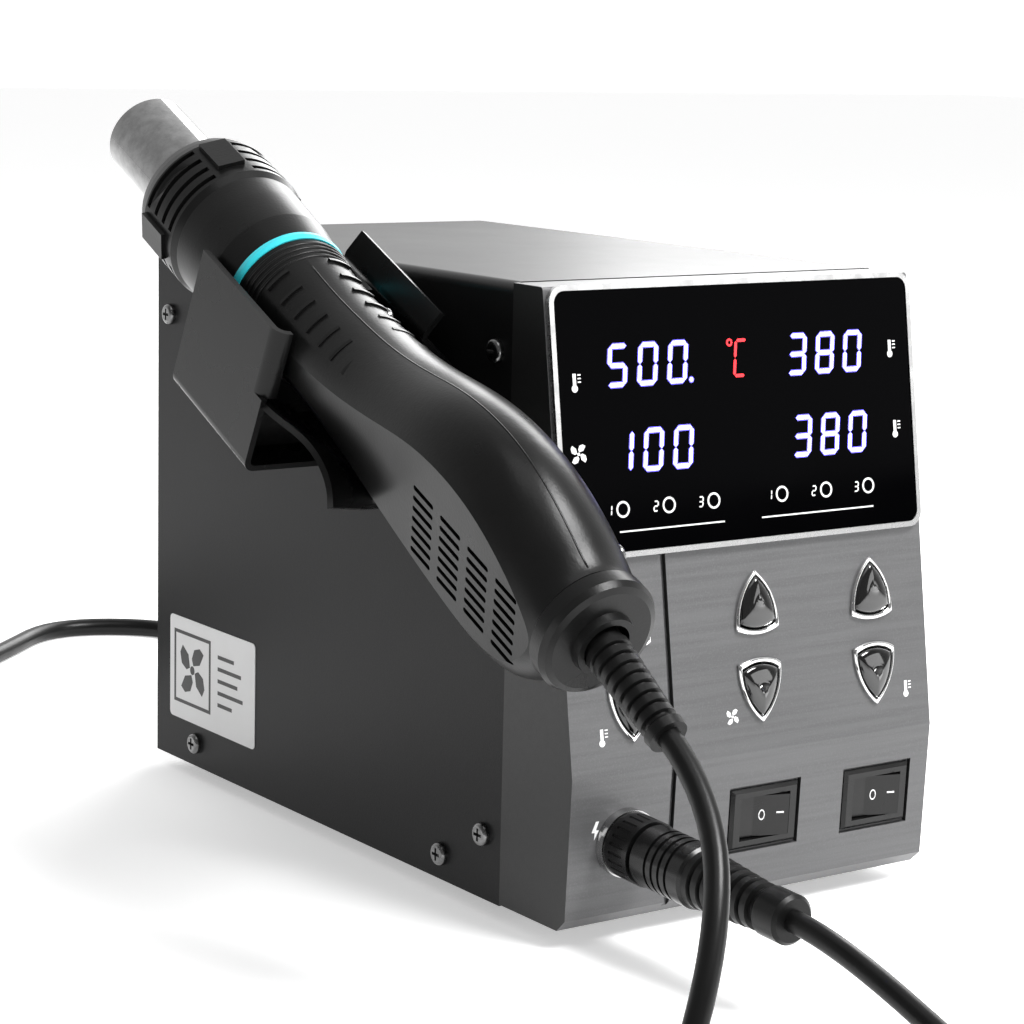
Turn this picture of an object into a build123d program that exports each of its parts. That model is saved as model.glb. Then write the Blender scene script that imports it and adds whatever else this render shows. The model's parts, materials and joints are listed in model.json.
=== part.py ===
from build123d import *
from math import cos, pi, radians, sin, sqrt, tan
import os

# Hot air rework station with a blower gun in a side cradle. Millimetres, +Z up, front faces -Y.
# The origin lies on the bench under the middle of station and gun together.

# ---------------------------------------------------------------- driving dimensions
BODY_W = 112.0          # width of the case
COVER_D = 173.0         # depth of the sheet-metal cover
BODY_H = 150.0          # height of the case without its feet
SHEET = 1.2             # steel sheet
GAP = 0.1               # fitting gap between neighbouring pieces
FOOT_H = 4.0            # height of the rubber feet

BODY_X = 24.8           # middle of the case, right of the origin
FRONT_Y = -47.5         # front edge of the cover
BASE_Z = FOOT_H         # underside of the case

KNEE_OUT = 28.0         # how far the front moulding stands out at its knee
KNEE_Z = 37.4           # height of the knee
TOP_OUT = 11.4          # how far it stands out at the top
TOE_OUT = 26.4          # how far it stands out at the bottom
PANEL_LEAN = 8.4        # degrees that the panel above the knee leans back
TOE_LEAN = 2.3          # degrees that the panel below the knee leans back
WALL = 3.0              # wall of the front moulding

SCREEN_W, SCREEN_H = 111.0, 63.6        # outer size of the display frame
SCREEN_V = 82.0                         # its middle, up the panel from the knee
FRAME_T = 1.3                           # its width all round
BUTTON_W, BUTTON_H = 13.2, 15.8
BUTTON_COLUMNS = (-38.0, 1.2, 38.0)
BUTTON_UP_V, BUTTON_DOWN_V = 36.0, 14.8
BUTTON_TRAVEL = 0.8
SWITCH_COLUMNS = (2.8, 39.0)
SWITCH_V = -16.7
SWITCH_TILT = 12.0      # degrees either side of level
SOCKET_AT = (-40.0, -16.7)
GROOVE_X = -26.0

GUN_PITCH = 25.4        # degrees that the gun points up at the back
GUN_ROLL = 14.0         # degrees that it lies over, away from the case
GUN_OFFSET = 88.0       # its axis, left of the middle of the case
TUBE_R = 11.0
LEAD_D = 5.2
MAINS_D = 5.8

LEFT = BODY_X - BODY_W / 2
RIGHT = BODY_X + BODY_W / 2
REAR_Y = FRONT_Y + COVER_D
TOP_Z = BASE_Z + BODY_H
INNER_W = BODY_W - 2 * SHEET

os.makedirs("parts", exist_ok=True)


def save(piece, label):
    """Name a finished piece and write it to its own file."""
    piece.part.label = label
    export_step(piece.part, f"parts/{label}.step")


# ---------------------------------------------------------------- planes
knee = Vector(BODY_X, FRONT_Y - KNEE_OUT, BASE_Z + KNEE_Z)
panel = Plane(
    knee, x_dir=(1, 0, 0), z_dir=(0, -cos(radians(PANEL_LEAN)), sin(radians(PANEL_LEAN)))
)
toe = Plane(
    knee, x_dir=(1, 0, 0), z_dir=(0, -cos(radians(TOE_LEAN)), -sin(radians(TOE_LEAN)))
)
gun_tip = Vector(BODY_X - GUN_OFFSET, FRONT_Y + 118.5, BASE_Z + 178.0)
gun_axis = Vector(0, -cos(radians(GUN_PITCH)), -sin(radians(GUN_PITCH)))
gun_up = Vector(0, -sin(radians(GUN_PITCH)), cos(radians(GUN_PITCH)))
cradle_plane = Plane(gun_tip, x_dir=(1, 0, 0), z_dir=gun_axis)


def spun(plane, degrees_about_z):
    """The plane turned about its own z."""
    angle = radians(degrees_about_z)
    return Plane(
        plane.origin,
        x_dir=plane.x_dir * cos(angle) + plane.y_dir * sin(angle),
        z_dir=plane.z_dir,
    )


gun = spun(cradle_plane, GUN_ROLL)
gun_side = Plane(gun_tip, x_dir=gun_axis, z_dir=-gun.x_dir)


def panel_at(x, v, out=0.0, plane=panel):
    """A plane on the front panel, x to the right and v up it, raised by out."""
    return Plane(
        plane.from_local_coords(Vector(x, v, out)), x_dir=plane.x_dir, z_dir=plane.z_dir
    )


CRADLE_T = 1.5          # steel of the cradle
CASE_X = GUN_OFFSET - BODY_W / 2        # the case's left side, in the cradle's own plane
cradle_screws_at = [
    cradle_plane.from_local_coords(Vector(CASE_X - GAP - CRADLE_T, -18.0, along))
    for along in (77.0, 90.0)
]

# ---------------------------------------------------------------- steel case
side_screws = ((165.6, 126.6), (150.0, 6.6), (6.1, 133.3), (25.3, 6.6), (7.4, 16.1))

with BuildPart() as cover:
    with BuildSketch(Plane.XZ.offset(-FRONT_Y)):
        with Locations((BODY_X, BASE_Z + BODY_H / 2)):
            Rectangle(BODY_W, BODY_H)
    extrude(amount=-COVER_D)
    bends = cover.edges().filter_by(Axis.Y).group_by(Axis.Z)[-1]
    fillet(bends, radius=2.8)
    with BuildSketch(Plane.XZ.offset(-FRONT_Y)):
        with Locations((BODY_X, BASE_Z + (BODY_H - SHEET) / 2)):
            Rectangle(INNER_W, BODY_H - SHEET)
    extrude(amount=-COVER_D, mode=Mode.SUBTRACT)
    for y, z in side_screws:
        with BuildSketch(Plane.YZ.offset(LEFT - 1)):
            with Locations((FRONT_Y + y, BASE_Z + z)):
                Circle(1.7)
        extrude(amount=BODY_W + 2, mode=Mode.SUBTRACT)
    # cooling slots in the right-hand side and holes for the two cradle screws in the left
    with BuildSketch(Plane.YZ.offset(RIGHT - 5)):
        with Locations((FRONT_Y + 120, BASE_Z + 60)):
            with GridLocations(9, 30, 7, 2):
                SlotOverall(22, 3, rotation=90)
    extrude(amount=10, mode=Mode.SUBTRACT)
    with BuildSketch(Plane.YZ.offset(LEFT - 1)):
        with Locations(*[(place.Y, place.Z) for place in cradle_screws_at]):
            Circle(1.7)
    extrude(amount=5, mode=Mode.SUBTRACT)
save(cover, "cover")

CHASSIS_W = INNER_W - 2 * GAP
FLANGE_H = 13.0
foot_places = [
    (BODY_X + sx * (BODY_W / 2 - 24), FRONT_Y + y) for sx in (-1, 1) for y in (22, COVER_D - 26)
]
board_places = [(BODY_X + sx * 40, FRONT_Y + y) for sx in (-1, 1) for y in (34, 138)]

with BuildPart() as chassis:
    with BuildSketch(Plane.XZ.offset(-FRONT_Y - 1)):
        with Locations((BODY_X, BASE_Z + FLANGE_H / 2)):
            Rectangle(CHASSIS_W, FLANGE_H)
        with Locations((BODY_X, BASE_Z + SHEET + FLANGE_H / 2)):
            Rectangle(CHASSIS_W - 2 * SHEET, FLANGE_H, mode=Mode.SUBTRACT)
    extrude(amount=-(COVER_D - 2 - SHEET))
    with BuildSketch(Plane.YZ.offset(LEFT)):
        with Locations(
            *[(FRONT_Y + y, BASE_Z + z) for y, z in side_screws if z < FLANGE_H]
        ):
            Circle(1.5)
    extrude(amount=BODY_W, mode=Mode.SUBTRACT)
    # the front moulding's lower lugs pass beside the side flanges
    with BuildSketch(Plane.XY.offset(BASE_Z + SHEET)):
        with Locations((BODY_X, FRONT_Y + 7)):
            Rectangle(BODY_W, 13)
    extrude(amount=FLANGE_H, mode=Mode.SUBTRACT)
    with BuildSketch(Plane.XY.offset(BASE_Z - 1)):
        with Locations(*foot_places, *board_places):
            Circle(1.6)
        with Locations((BODY_X, FRONT_Y + 86)):
            with GridLocations(9, 26, 7, 2):
                SlotOverall(20, 3, rotation=90)
    extrude(amount=5, mode=Mode.SUBTRACT)
save(chassis, "chassis")

GLAND_AT = (-4.0, 33.0)         # mains lead, on the back, from the middle of the case
FUSE_AT = (34.0, 33.0)
rear_screw_places = [(BODY_X + sx * 48, BASE_Z + z) for sx in (-1, 1) for z in (20, 134)]

with BuildPart() as rear_panel:
    with BuildSketch(Plane.XZ.offset(-REAR_Y + SHEET)):
        with Locations((BODY_X, BASE_Z + SHEET + (BODY_H - 2 * SHEET) / 2)):
            Rectangle(CHASSIS_W, BODY_H - 2 * SHEET - 2 * GAP)
    extrude(amount=-SHEET)
    # side flanges turned forward
    with BuildSketch(Plane.XY.offset(BASE_Z + 18)):
        for sx in (-1, 1):
            with Locations((BODY_X + sx * (CHASSIS_W - SHEET) / 2, REAR_Y - SHEET - 6)):
                Rectangle(SHEET, 12)
    extrude(amount=BODY_H - 24)
    with BuildSketch(Plane.YZ.offset(LEFT)):
        with Locations((FRONT_Y + side_screws[0][0], BASE_Z + side_screws[0][1])):
            Circle(1.5)
    extrude(amount=BODY_W, mode=Mode.SUBTRACT)
    with BuildSketch(Plane.XZ.offset(-REAR_Y - 1)):
        with Locations((BODY_X + GLAND_AT[0], BASE_Z + GLAND_AT[1])):
            Circle(5.0)
        with Locations((BODY_X + FUSE_AT[0], BASE_Z + FUSE_AT[1])):
            Circle(6.1)
        with Locations(*rear_screw_places):
            Circle(1.5)
        with Locations((BODY_X, BASE_Z + 100)):
            with GridLocations(8, 30, 9, 2):
                SlotOverall(24, 3.2, rotation=90)
    extrude(amount=SHEET * 4, mode=Mode.SUBTRACT)
save(rear_panel, "rear_panel")

with BuildPart() as feet:
    with BuildSketch(Plane.XY):
        with Locations(*foot_places):
            Circle(6.5)
    extrude(amount=FOOT_H, taper=-6)
    with BuildSketch(Plane.XY.offset(FOOT_H)):
        with Locations(*foot_places):
            Circle(1.5)
    extrude(amount=SHEET + 2)
save(feet, "rubber_feet")


def screw_head(place, head_r=2.9, head_h=1.7, shank_r=1.45, shank=5.2):
    """A pan-head screw with a cross recess; place is a plane on the seat, z outwards."""
    with BuildSketch(place) as seat:
        Circle(head_r)
    head = extrude(seat.sketch, amount=head_h)
    rims = head.edges().filter_by(GeomType.CIRCLE)
    fillet(rims.sort_by(lambda e: place.to_local_coords(e.center()).Z)[-1], head_h * 0.6)
    with BuildSketch(place.offset(-shank)) as core:
        Circle(shank_r)
    extrude(core.sketch, amount=shank)
    with BuildSketch(place.offset(head_h - 0.9)) as recess:
        Rectangle(3.2, 0.75)
        Rectangle(0.75, 3.2)
    extrude(recess.sketch, amount=2, mode=Mode.SUBTRACT)


with BuildPart() as case_screws:
    for y, z in side_screws:
        for side in (-1, 1):
            x = BODY_X + side * BODY_W / 2
            screw_head(
                Plane((x, FRONT_Y + y, BASE_Z + z), x_dir=(0, 1, 0), z_dir=(side, 0, 0))
            )
    for x, z in rear_screw_places:
        screw_head(Plane((x, REAR_Y, z), x_dir=(1, 0, 0), z_dir=(0, 1, 0)))
    for place in cradle_screws_at:
        screw_head(Plane(place, x_dir=(0, 1, 0), z_dir=(-1, 0, 0)))
save(case_screws, "case_screws")

# ---------------------------------------------------------------- front moulding
TOE_CHAMFER = 3.0
front_outline = (
    (0, BODY_H - 0.2),
    (-TOP_OUT, BODY_H - 0.2),
    (-KNEE_OUT, KNEE_Z),
    (-TOE_OUT, 0.4),
    (0, 0.4),
)


def front_points(outline):
    """Outline points given from the cover's front edge, in the model's own frame."""
    return [(FRONT_Y + y, BASE_Z + z) for y, z in outline]


def shield(width, height, up=True):
    """A button's outline: a pointed arch with a shallow curved base."""
    top, low, base = height / 2, -height / 2 + 1.4, -height / 2
    with BuildSketch(mode=Mode.PRIVATE) as outline:
        with BuildLine():
            ThreePointArc((0, top), (width * 0.36, height * 0.13), (width / 2, low))
            ThreePointArc((width / 2, low), (0, base), (-width / 2, low))
            ThreePointArc((-width / 2, low), (-width * 0.36, height * 0.13), (0, top))
        make_face()
    return outline.sketch if up else outline.sketch.rotate(Axis.Z, 180)


RIM_T = 1.05                    # width of the chromed rim
button_names = ("gun_temp", "air_flow", "iron_temp")
buttons = [
    (name, x, v, up)
    for name, x in zip(button_names, BUTTON_COLUMNS)
    for v, up in ((BUTTON_UP_V, True), (BUTTON_DOWN_V, False))
]
rim_hole = (BUTTON_W - 2 * RIM_T, BUTTON_H - 2.6 * RIM_T)
LUG_T = 2.0

with BuildPart() as front_moulding:
    with BuildSketch(Plane.YZ.offset(LEFT)):
        with BuildLine():
            Polyline(*front_points(front_outline), close=True)
        make_face()
    extrude(amount=BODY_W)
    toe_edge = front_moulding.edges().filter_by(Axis.X).group_by(Axis.Z)[0].sort_by(Axis.Y)[0]
    chamfer(toe_edge, length=TOE_CHAMFER)
    top_edge = front_moulding.edges().filter_by(Axis.X).group_by(Axis.Z)[-1].sort_by(Axis.Y)[0]
    fillet(top_edge, radius=1.0)
    inner = (
        (4, BODY_H - 0.2 - WALL),
        (-TOP_OUT + WALL, BODY_H - 0.2 - WALL),
        (-KNEE_OUT + WALL, KNEE_Z),
        (-TOE_OUT + WALL, 0.4 + WALL),
        (4, 0.4 + WALL),
    )
    with BuildSketch(Plane.YZ.offset(LEFT + WALL)):
        with BuildLine():
            Polyline(*front_points(inner), close=True)
        make_face()
    extrude(amount=BODY_W - 2 * WALL, mode=Mode.SUBTRACT)
    # lugs that the side screws reach
    for z in (133.3, 16.1):
        for side in (-1, 1):
            lug_x = BODY_X + side * (INNER_W / 2 - GAP - LUG_T / 2)
            with BuildSketch(Plane.XY.offset(BASE_Z + z - 6)):
                with Locations((lug_x, FRONT_Y + 5)):
                    Rectangle(LUG_T, 14)
            extrude(amount=12)
    with BuildSketch(Plane.YZ.offset(LEFT)):
        with Locations(*[(FRONT_Y + y, BASE_Z + z) for y, z in side_screws if y < 10]):
            Circle(1.5)
    extrude(amount=BODY_W, mode=Mode.SUBTRACT)
    # display opening, button holes
    with BuildSketch(panel_at(0, SCREEN_V, 1)):
        RectangleRounded(SCREEN_W - 8, SCREEN_H - 8, 2)
    extrude(amount=-WALL - 3, mode=Mode.SUBTRACT)
    for name, x, v, up in buttons:
        with BuildSketch(panel_at(x, v, 1)):
            add(shield(*rim_hole, up))
        extrude(amount=-WALL - 3, mode=Mode.SUBTRACT)
    # switch recesses and their openings
    for x in SWITCH_COLUMNS:
        with BuildSketch(panel_at(x, SWITCH_V, 1, toe)):
            Rectangle(22.4, 16.6)
        extrude(amount=-1 - 1.2, mode=Mode.SUBTRACT)
        with BuildSketch(panel_at(x, SWITCH_V, 1, toe)):
            Rectangle(19.6, 13.2)
        extrude(amount=-WALL - 3, mode=Mode.SUBTRACT)
    with BuildSketch(panel_at(*SOCKET_AT, 1, toe)):
        Circle(6.15)
    extrude(amount=-WALL - 3, mode=Mode.SUBTRACT)
    # deep joint line between the gun's third of the panel and the rest
    for plane, low, high in ((panel, 0, 50), (toe, -KNEE_Z, 0.5)):
        with BuildSketch(panel_at(GROOVE_X, (low + high) / 2, 0.5, plane)):
            Rectangle(1.5, high - low)
        extrude(amount=-0.5 - 1.2, mode=Mode.SUBTRACT)
save(front_moulding, "front_moulding")

with BuildPart() as display_frame:
    with BuildSketch(panel_at(0, SCREEN_V)):
        RectangleRounded(SCREEN_W, SCREEN_H, 4)
        RectangleRounded(SCREEN_W - 2 * FRAME_T, SCREEN_H - 2 * FRAME_T, 3, mode=Mode.SUBTRACT)
    extrude(amount=1.5)
save(display_frame, "display_frame")

WINDOW_W, WINDOW_H = SCREEN_W - 2 * FRAME_T - 0.2, SCREEN_H - 2 * FRAME_T - 0.2
with BuildPart() as display_window:
    with BuildSketch(panel_at(0, SCREEN_V)):
        RectangleRounded(WINDOW_W, WINDOW_H, 2.9)
    extrude(amount=1.2)
save(display_window, "display_window")

BOARD_BACK = -9.6
with BuildPart() as display_board:
    with BuildSketch(panel_at(0, SCREEN_V - 1, BOARD_BACK)):
        Rectangle(99, 54)
        with GridLocations(92, 47, 2, 2):
            Circle(1.6, mode=Mode.SUBTRACT)
    extrude(amount=1.6)
save(display_board, "display_board")

DIGIT_COLUMNS, DIGIT_ROWS = (-27.6, 26.8), (94.8, 75.0)
LIGHT_COLUMNS, LIGHT_V = (-37.7, -24.1, -10.6, 10.6, 24.6, 38.5), 61.4
with BuildPart() as digit_modules:
    for x in DIGIT_COLUMNS:
        for v in DIGIT_ROWS:
            with BuildSketch(panel_at(x, v, BOARD_BACK + 1.6)):
                Rectangle(30, 14)
            extrude(amount=7)
save(digit_modules, "digit_modules")

with BuildPart() as unit_module:
    with BuildSketch(panel_at(-2, 94.8, BOARD_BACK + 1.6)):
        Rectangle(9, 13)
    extrude(amount=7)
save(unit_module, "unit_module")

with BuildPart() as indicator_lamps:
    for x in LIGHT_COLUMNS:
        with BuildSketch(panel_at(x, LIGHT_V, BOARD_BACK + 1.6)):
            Circle(1.9)
        lamp = extrude(amount=6.6)
        tip = lamp.edges().filter_by(GeomType.CIRCLE).sort_by(Axis.Y)[0]
        fillet(tip, radius=1.2)
save(indicator_lamps, "indicator_lamps")

# ---------------------------------------------------------------- buttons
CAP_T = 5.2
with BuildPart() as button_rims:
    for name, x, v, up in buttons:
        with BuildSketch(panel_at(x, v)):
            add(shield(BUTTON_W, BUTTON_H, up))
            add(shield(*rim_hole, up), mode=Mode.SUBTRACT)
        extrude(amount=1.1)
save(button_rims, "button_rims")

for name, x, v, up in buttons:
    label = f"{name}_{'up' if up else 'down'}_button"
    with BuildPart() as cap:
        with BuildSketch(panel_at(x, v, 1.7)):
            add(shield(rim_hole[0] - 0.5, rim_hole[1] - 0.6, up))
        extrude(amount=-CAP_T - 0.7)
        with BuildSketch(panel_at(x, v, 1.7 - CAP_T)):
            Rectangle(13.2, 13.4)
        extrude(amount=-0.7)
    save(cap, label)

BUTTON_BOARD = -10.8
with BuildPart() as button_board:
    with BuildSketch(panel_at(0, 25.4, BUTTON_BOARD)):
        Rectangle(98, 45)
        with GridLocations(92, 39, 2, 2):
            Circle(1.6, mode=Mode.SUBTRACT)
    extrude(amount=1.6)
save(button_board, "button_board")

with BuildPart() as tact_switches:
    for name, x, v, up in buttons:
        with BuildSketch(panel_at(x, v, BUTTON_BOARD + 1.6)):
            Rectangle(6, 6)
        extrude(amount=3.2)
        with BuildSketch(panel_at(x, v, BUTTON_BOARD + 4.8)):
            Circle(1.7)
        extrude(amount=0.8)
save(tact_switches, "tact_switches")

# ---------------------------------------------------------------- rocker switches
PIVOT_Z = -2.0
with BuildPart() as switch_bodies:
    for x in SWITCH_COLUMNS:
        with BuildSketch(panel_at(x, SWITCH_V, -1.2 + GAP, toe)):
            Rectangle(21, 15)
        bezel = extrude(amount=1.5)
        outer = bezel.edges().sort_by(lambda e: toe.to_local_coords(e.center()).Z)[-4:]
        chamfer(outer, length=0.8)
        with BuildSketch(panel_at(x, SWITCH_V, -1.2 + GAP, toe)):
            Rectangle(19.2, 12.8)
        extrude(amount=-12)
        with BuildSketch(panel_at(x, SWITCH_V, 1, toe)):
            Rectangle(15.4, 10.8)
        extrude(amount=-11, mode=Mode.SUBTRACT)
save(switch_bodies, "switch_bodies")

ROCKER_L, ROCKER_W = 14.2, 10.2
for x, label in zip(SWITCH_COLUMNS, ("gun_power_rocker", "iron_power_rocker")):
    pivot = toe.from_local_coords(Vector(x, SWITCH_V, PIVOT_Z))
    swung = spun(Plane(pivot, x_dir=toe.x_dir, z_dir=toe.y_dir), -SWITCH_TILT)
    with BuildPart() as rocker:
        with BuildSketch(swung.offset(-ROCKER_W / 2)):
            with BuildLine():
                Polyline((-ROCKER_L / 2 + 1.6, 4), (-ROCKER_L / 2, -2.2), (-2.4, -1.5))
                Polyline((-2.4, -1.5), (ROCKER_L / 2, -2.2), (ROCKER_L / 2 - 1.6, 4))
                ThreePointArc((ROCKER_L / 2 - 1.6, 4), (0, 6), (-ROCKER_L / 2 + 1.6, 4))
            make_face()
        extrude(amount=ROCKER_W)
        with BuildSketch(swung.offset(-ROCKER_W / 2 - 0.2)):
            Circle(1.4)
        extrude(amount=ROCKER_W + 0.4)
    save(rocker, label)

# ---------------------------------------------------------------- gun socket and plug
socket = panel_at(*SOCKET_AT, 0, toe)


def ring(start, end, outer, inner=0.0, plane=socket, mode=Mode.ADD):
    """A round disc or ring from start to end along a plane's own axis."""
    with BuildSketch(plane.offset(start)) as section:
        Circle(outer)
        if inner:
            Circle(inner, mode=Mode.SUBTRACT)
    extrude(section.sketch, amount=end - start, mode=mode)


with BuildPart() as panel_socket:
    ring(0, 2.4, 8.2, 5.1)
    ring(-14, 0, 6.0, 5.1)
    ring(-14, -12, 5.5)
    chamfer(panel_socket.edges().filter_by(GeomType.CIRCLE).sort_by(Axis.Y)[:2][-1], length=0.3)
    with BuildSketch(socket.offset(-12)):
        with PolarLocations(3.0, 5):
            Circle(0.6)
    extrude(amount=5)
save(panel_socket, "panel_socket")

with BuildPart() as socket_nut:
    with BuildSketch(socket.offset(-WALL - 3.0)):
        RegularPolygon(8.2, 6)
        Circle(6.05, mode=Mode.SUBTRACT)
    extrude(amount=2.6)
save(socket_nut, "socket_nut")

with BuildPart() as plug_ring:
    ring(2.6, 11.0, 7.9, 5.6)
    with BuildSketch(socket.offset(4.4)):
        with PolarLocations(7.95, 24):
            Circle(0.3)
    extrude(amount=5.0, mode=Mode.SUBTRACT)
save(plug_ring, "plug_ring")

with BuildPart() as plug_body:
    ring(-6, 11.2, 4.9, 3.6)
    ring(11.2, 30, 7.5, 3.6)
    wide = plug_body.edges().filter_by(lambda e: e.geom_type == GeomType.CIRCLE and e.radius > 7)
    chamfer(wide, length=0.8)
    for z in (17.0, 19.5, 22.0, 24.5):
        ring(z, z + 0.9, 9, 7.0, mode=Mode.SUBTRACT)
save(plug_body, "plug_body")


def turned(points, plane=socket, mode=Mode.ADD):
    """A solid of revolution about a plane's own axis, from (along, radius) points."""
    side = Plane(plane.origin, x_dir=plane.x_dir, z_dir=-plane.y_dir)
    with BuildSketch(side) as profile:
        with BuildLine():
            Polyline(*[(radius, along) for along, radius in points], close=True)
        make_face()
    revolve(profile.sketch, axis=Axis(plane.origin, plane.z_dir), mode=mode)


def ribbed(start, end, start_r, end_r, ribs, depth):
    """Outline points of a tapered sleeve with grooves between its ribs."""
    pitch = (end - start) / ribs
    points = []
    for rib in range(ribs):
        low = start + rib * pitch
        radius = start_r + (end_r - start_r) * rib / ribs
        points += [
            (low, radius), (low + pitch * 0.6, radius),
            (low + pitch * 0.7, radius - depth), (low + pitch * 0.95, radius - depth),
        ]
    return points


BOOT_START, BOOT_END = 30.0, 61.0
with BuildPart() as plug_boot:
    turned(
        [(BOOT_START, 0)]
        + ribbed(BOOT_START, 52, 6.9, 5.3, 7, 1.0)
        + [(52.4, 5.0), (53.6, 5.8), (BOOT_END - 0.8, 5.8), (BOOT_END, 5.0), (BOOT_END, 0)]
    )
save(plug_boot, "plug_boot")

# ---------------------------------------------------------------- blower gun
COLLAR_START, COLLAR_END = 31.0, 77.0
RING_END, SHELL_END, CAP_END = 79.6, 213.5, 219.5
SHELL_T = 2.2
CHEEK = 13.6            # flat cheeks of the fan housing, from the gun's middle plane

with BuildPart() as gun_tube:
    turned(
        [
            (0.6, 10.2), (0, 10.6), (0.3, TUBE_R), (COLLAR_START, TUBE_R), (COLLAR_START, 10.3),
            (50, 10.3), (50, 9.7), (COLLAR_START - 1, 9.7), (COLLAR_START - 1, 10.2),
        ],
        gun,
    )
    with BuildSketch(gun.offset(14)) as seam_dimple:
        with Locations((TUBE_R, 0)):
            Circle(0.6)
    extrude(seam_dimple.sketch, amount=14, mode=Mode.SUBTRACT)
save(gun_tube, "gun_steel_tube")

COLLAR_R = 18.0
with BuildPart() as gun_collar:
    turned(
        [
            (COLLAR_START, 10.4), (COLLAR_START, 15.4), (COLLAR_START + 0.8, 16.6),
            (COLLAR_START + 3, 17.4), (COLLAR_START + 5, COLLAR_R), (51, COLLAR_R),
            (53, 17.2), (60, 17.0), (70, 16.6), (COLLAR_END, 15.6), (COLLAR_END, 12.6),
            (37, 12.6), (35, 10.4),
        ],
        gun,
    )
    # cooling grooves round the collar, broken by flat lands
    for start in (36.6, 40.6, 44.6, 48.4):
        with BuildSketch(gun.offset(start)) as groove:
            Circle(COLLAR_R + 1)
            Circle(COLLAR_R - 1.3, mode=Mode.SUBTRACT)
            with PolarLocations(COLLAR_R, 4, start_angle=0):
                Rectangle(6, 10, mode=Mode.SUBTRACT)
        extrude(groove.sketch, amount=1.5, mode=Mode.SUBTRACT)
    with BuildSketch(gun.offset(37)) as lands:
        with PolarLocations(COLLAR_R + 0.2, 4, start_angle=0):
            Rectangle(1.6, 7)
    extrude(lands.sketch, amount=11)
save(gun_collar, "gun_collar")

with BuildPart() as gun_band:
    turned(
        [
            (COLLAR_END, 12.8), (COLLAR_END, 15.7), (COLLAR_END + 1.3, 15.9), (RING_END, 15.6),
            (RING_END, 12.8),
        ],
        gun,
    )
save(gun_band, "gun_colour_band")

# (along the axis, half width, half height, middle raised by) of the gun's round sections
gun_sections = (
    (RING_END, 15.3, 15.3, 0.0),
    (97, 14.0, 14.0, 0.0),
    (113, 14.2, 14.3, 0.0),
    (129, 15.0, 15.8, 0.2),
    (146, 16.2, 19.4, 0.8),
    (160, 17.0, 22.9, 1.4),
    (173, 17.4, 24.9, 1.2),
    (186, 17.4, 25.2, 0.0),
    (197, 16.8, 23.2, -1.4),
    (205, 15.7, 19.6, -1.8),
    (210, 14.4, 16.0, -1.0),
    (SHELL_END, 13.4, 13.8, 0.0),
)


def gun_loft(thinner=0.0):
    """The gun's outer shape, or its hollow when thinner is the wall."""
    with BuildPart(mode=Mode.PRIVATE) as body:
        for along, half_w, half_h, raised in gun_sections:
            with BuildSketch(gun.offset(along)):
                with Locations((0, raised)):
                    Ellipse(half_w - thinner, half_h - thinner)
        loft()
        with BuildSketch(gun.offset(RING_END - 1)):
            Rectangle(200, 200)
            Rectangle(2 * (CHEEK - thinner), 200, mode=Mode.SUBTRACT)
        extrude(amount=SHELL_END - RING_END + 2, mode=Mode.SUBTRACT)
    return body.part


gun_outer, gun_inner = gun_loft(), gun_loft(SHELL_T)
VENT_START, VENT_PITCH, VENT_L, VENT_H = 163.0, 11.6, 8.6, 1.3
MARK_START, MARK_PITCH, MARK_ANGLE, MARK_HALF = 88.0, 6.2, 34.0, 13.0
gun_screws_at = ((104, 5), (150, -13), (204, 7))


def section_at(along):
    """Half width, half height and lift of the gun's section at a distance from its tip."""
    for (a, *first), (b, *second) in zip(gun_sections, gun_sections[1:]):
        if a <= along <= b:
            return [f + (s - f) * (along - a) / (b - a) for f, s in zip(first, second)]


def grip_radius(along):
    return section_at(along)[0]


def side_distance(along, up):
    """How far the gun's side stands from its middle plane."""
    half_w, half_h, raised = section_at(along)
    return min(CHEEK, half_w * sqrt(1 - ((up - raised) / half_h) ** 2))


SCREW_SUNK = 0.8


for side, label in ((-1, "gun_shell_outer"), (1, "gun_shell_inner")):
    with BuildPart() as shell:
        add(gun_outer)
        add(gun_inner, mode=Mode.SUBTRACT)
        with BuildSketch(gun.offset(RING_END - 1)):
            with Locations((-side * 50, 0)):
                Rectangle(100, 200)
        extrude(amount=SHELL_END - RING_END + 2, mode=Mode.SUBTRACT)
        # intake slots through the cheek
        with BuildSketch(gun_side.offset(-side * (CHEEK + 1))):
            for column in range(4):
                for row in range(7):
                    with Locations((VENT_START + 5 + column * VENT_PITCH, 6.0 - row * 2.8)):
                        SlotOverall(VENT_L, VENT_H)
        extrude(amount=side * (SHELL_T + 3), mode=Mode.SUBTRACT)
        # short raised grip marks
        for row in range(7):
            along = MARK_START + row * MARK_PITCH
            with BuildSketch(gun.offset(along)):
                Circle(grip_radius(along) + 0.45)
                Circle(grip_radius(along) - 1.2, mode=Mode.SUBTRACT)
                low, high = (radians(90 - side * MARK_ANGLE + a) for a in (-MARK_HALF, MARK_HALF))
                with BuildLine():
                    Polyline(
                        (0, 0), (30 * cos(low), 30 * sin(low)), (30 * cos(high), 30 * sin(high)),
                        close=True,
                    )
                make_face(mode=Mode.INTERSECT)
            extrude(amount=0.9)
        if side > 0:
            with BuildSketch(gun_side.offset(-CHEEK - 6)):
                with Locations(*gun_screws_at):
                    Circle(1.15)
            extrude(amount=12, mode=Mode.SUBTRACT)
            for along, up in gun_screws_at:
                with BuildSketch(gun_side.offset(SCREW_SUNK - side_distance(along, up))):
                    with Locations((along, up)):
                        Circle(2.4)
                extrude(amount=-6, mode=Mode.SUBTRACT)
    save(shell, label)

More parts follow.
